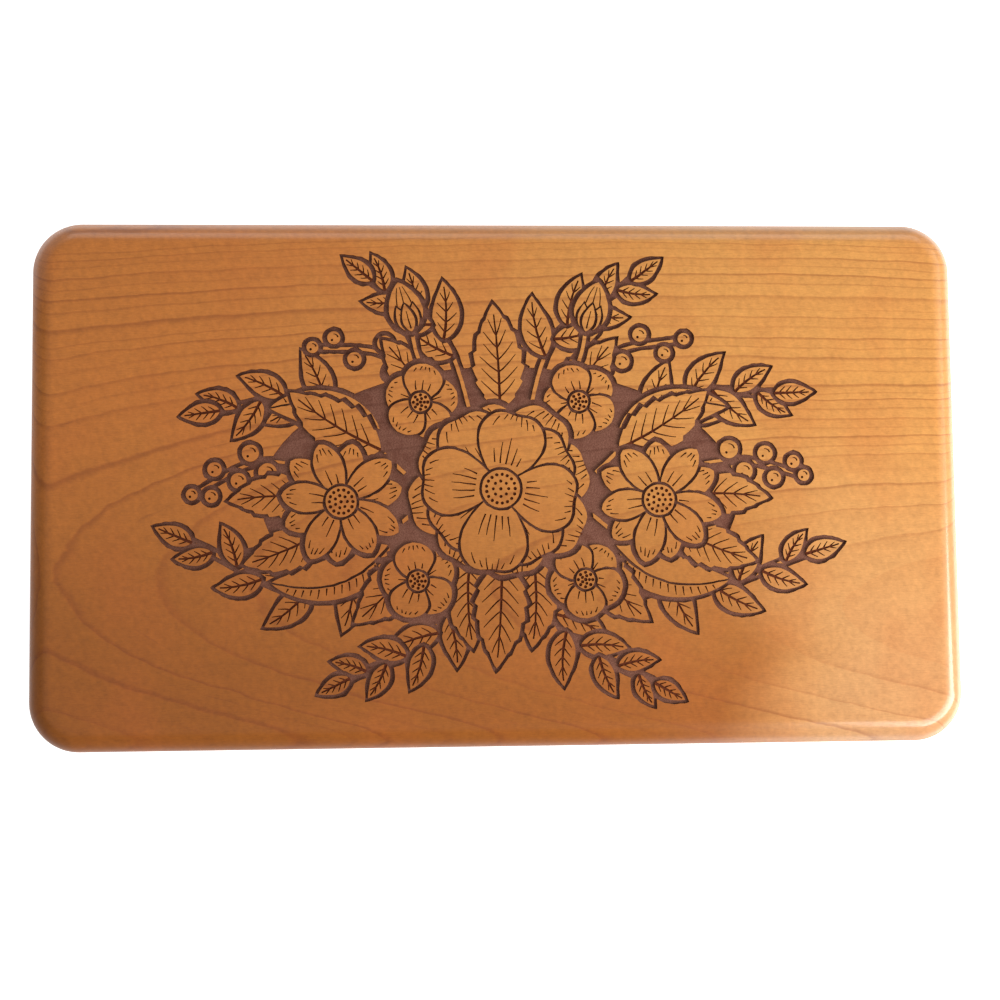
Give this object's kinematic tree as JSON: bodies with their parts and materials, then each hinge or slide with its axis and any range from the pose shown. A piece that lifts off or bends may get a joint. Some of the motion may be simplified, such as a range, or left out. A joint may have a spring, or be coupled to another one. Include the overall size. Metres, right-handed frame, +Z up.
{
  "type": "jewelry box",
  "caption": "Wooden jewelry box: bullnosed solid lid on two butt hinges, mirror inside, velvet-lined compartment with ring rolls, and a dovetailed drawer with a finger notch.",
  "frame": {"origin": "on the floor, under the middle of the box", "axes": "+X to the right along the lid's length, -Y towards the front with the drawer, +Z up"},
  "size_m": [0.235, 0.133, 0.0994],
  "materials": {
    "cherry_wood": "satin lacquer",
    "maple_wood": "bare, sanded",
    "plywood": "bare, sanded",
    "velvet": "short pile",
    "felt": "pressed felt",
    "brass": "brushed",
    "mirror_glass": "polished"
  },
  "bodies": {
    "box": {"front_wall": "cherry_wood", "back_wall": "cherry_wood", "left_wall": "cherry_wood", "right_wall": "cherry_wood", "base_panel": "plywood", "deck_panel": "plywood", "foot_front_left": "felt", "foot_front_right": "felt", "foot_back_left": "felt", "foot_back_right": "felt", "drawer_runner_left": "maple_wood", "drawer_runner_right": "maple_wood", "drawer_kicker_left": "maple_wood", "drawer_kicker_right": "maple_wood", "drawer_stop_left": "maple_wood", "drawer_stop_right": "maple_wood", "lining_floor": "velvet", "lining_front": "velvet", "lining_back": "velvet", "lining_left": "velvet", "lining_right": "velvet", "divider_rings": "velvet", "divider_long": "velvet", "divider_short": "velvet", "ring_roll_1": "velvet", "ring_roll_2": "velvet", "ring_roll_3": "velvet", "ring_roll_4": "velvet", "ring_roll_5": "velvet", "ring_roll_6": "velvet", "hinge_left_body_leaf": "brass", "hinge_right_body_leaf": "brass", "hinge_left_pin": "brass", "hinge_right_pin": "brass", "screw_body_left_1": "brass", "screw_body_left_2": "brass", "screw_body_right_1": "brass", "screw_body_right_2": "brass"},
    "lid": {"lid_panel": "cherry_wood", "mirror": "mirror_glass", "mirror_bead_front": "cherry_wood", "mirror_bead_back": "cherry_wood", "mirror_bead_left": "cherry_wood", "mirror_bead_right": "cherry_wood", "hinge_left_lid_leaf": "brass", "hinge_right_lid_leaf": "brass", "screw_lid_left_1": "brass", "screw_lid_left_2": "brass", "screw_lid_right_1": "brass", "screw_lid_right_2": "brass"},
    "drawer": {"drawer_front": "cherry_wood", "drawer_side_left": "maple_wood", "drawer_side_right": "maple_wood", "drawer_back": "maple_wood", "drawer_bottom": "plywood", "drawer_lining": "velvet", "drawer_divider_1": "velvet", "drawer_divider_2": "velvet"}
  },
  "joints": [
    {"name": "lid_hinge", "type": "hinge", "parent": "box", "child": "lid", "pos_m": [0, 0.0639, 0.0802], "axis": [-1, 0, 0], "range_deg": [0, 95]},
    {"name": "drawer_slide", "type": "slide", "parent": "box", "child": "drawer", "axis": [0, -1, 0], "range_m": [0, 0.08]}
  ]
}
